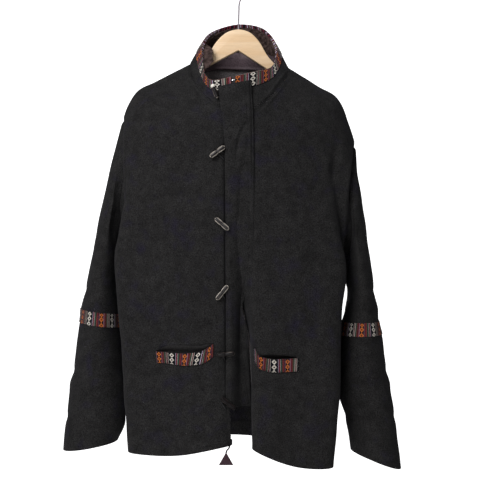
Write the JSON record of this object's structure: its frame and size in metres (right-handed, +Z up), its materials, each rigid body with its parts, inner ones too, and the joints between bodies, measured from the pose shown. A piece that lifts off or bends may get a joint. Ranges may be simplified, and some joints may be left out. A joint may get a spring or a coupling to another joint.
{
  "type": "duffle coat on a wooden hanger",
  "caption": "Black wool duffle coat with a stand collar, horn toggles, patterned woven bands and welt pockets, hanging open at the hem on a wooden hanger with a wire hook.",
  "frame": {"origin": "inner crown of the hanger's hook, where a rail or peg carries it", "axes": "+X to the viewer's right across the shoulders, +Y to the coat's back, +Z up, so the front faces -Y"},
  "size_m": [0.664, 0.2322, 0.9546],
  "materials": {
    "wool": "fulled black wool",
    "fleece": "dark brown pile",
    "lining": "plain woven lining",
    "woven_band": "patterned woven band",
    "horn": "polished dark horn",
    "cord": "black cord",
    "zip_metal": "plated zip teeth on a black tape",
    "beech": "clear lacquer",
    "steel_wire": "bright plated wire",
    "tag_cloth": "dark woven cloth"
  },
  "bodies": {
    "root": {"back": "wool", "front_left": "wool", "front_right": "wool", "sleeve_left": "wool", "sleeve_right": "wool", "collar": "wool", "flap": "wool", "collar_fleece": "fleece", "lining_back": "lining", "pocket_left": "lining", "pocket_right": "lining", "band_collar": "woven_band", "band_sleeve_left": "woven_band", "band_sleeve_right": "woven_band", "band_pocket_left": "woven_band", "band_pocket_right": "woven_band", "toggle_1": "horn", "toggle_2": "horn", "toggle_3": "horn", "toggle_4": "horn", "toggle_5": "horn", "toggle_6": "horn", "toggle_loop_1": "cord", "toggle_loop_2": "cord", "toggle_loop_3": "cord", "toggle_loop_4": "cord", "toggle_loop_5": "cord", "toggle_loop_6": "cord", "zip_left": "zip_metal", "zip_right": "zip_metal", "zip_slider": "zip_metal", "zip_cord": "cord", "zip_tag": "tag_cloth", "hanger": "beech", "hook": "steel_wire"}
  },
  "joints": []
}
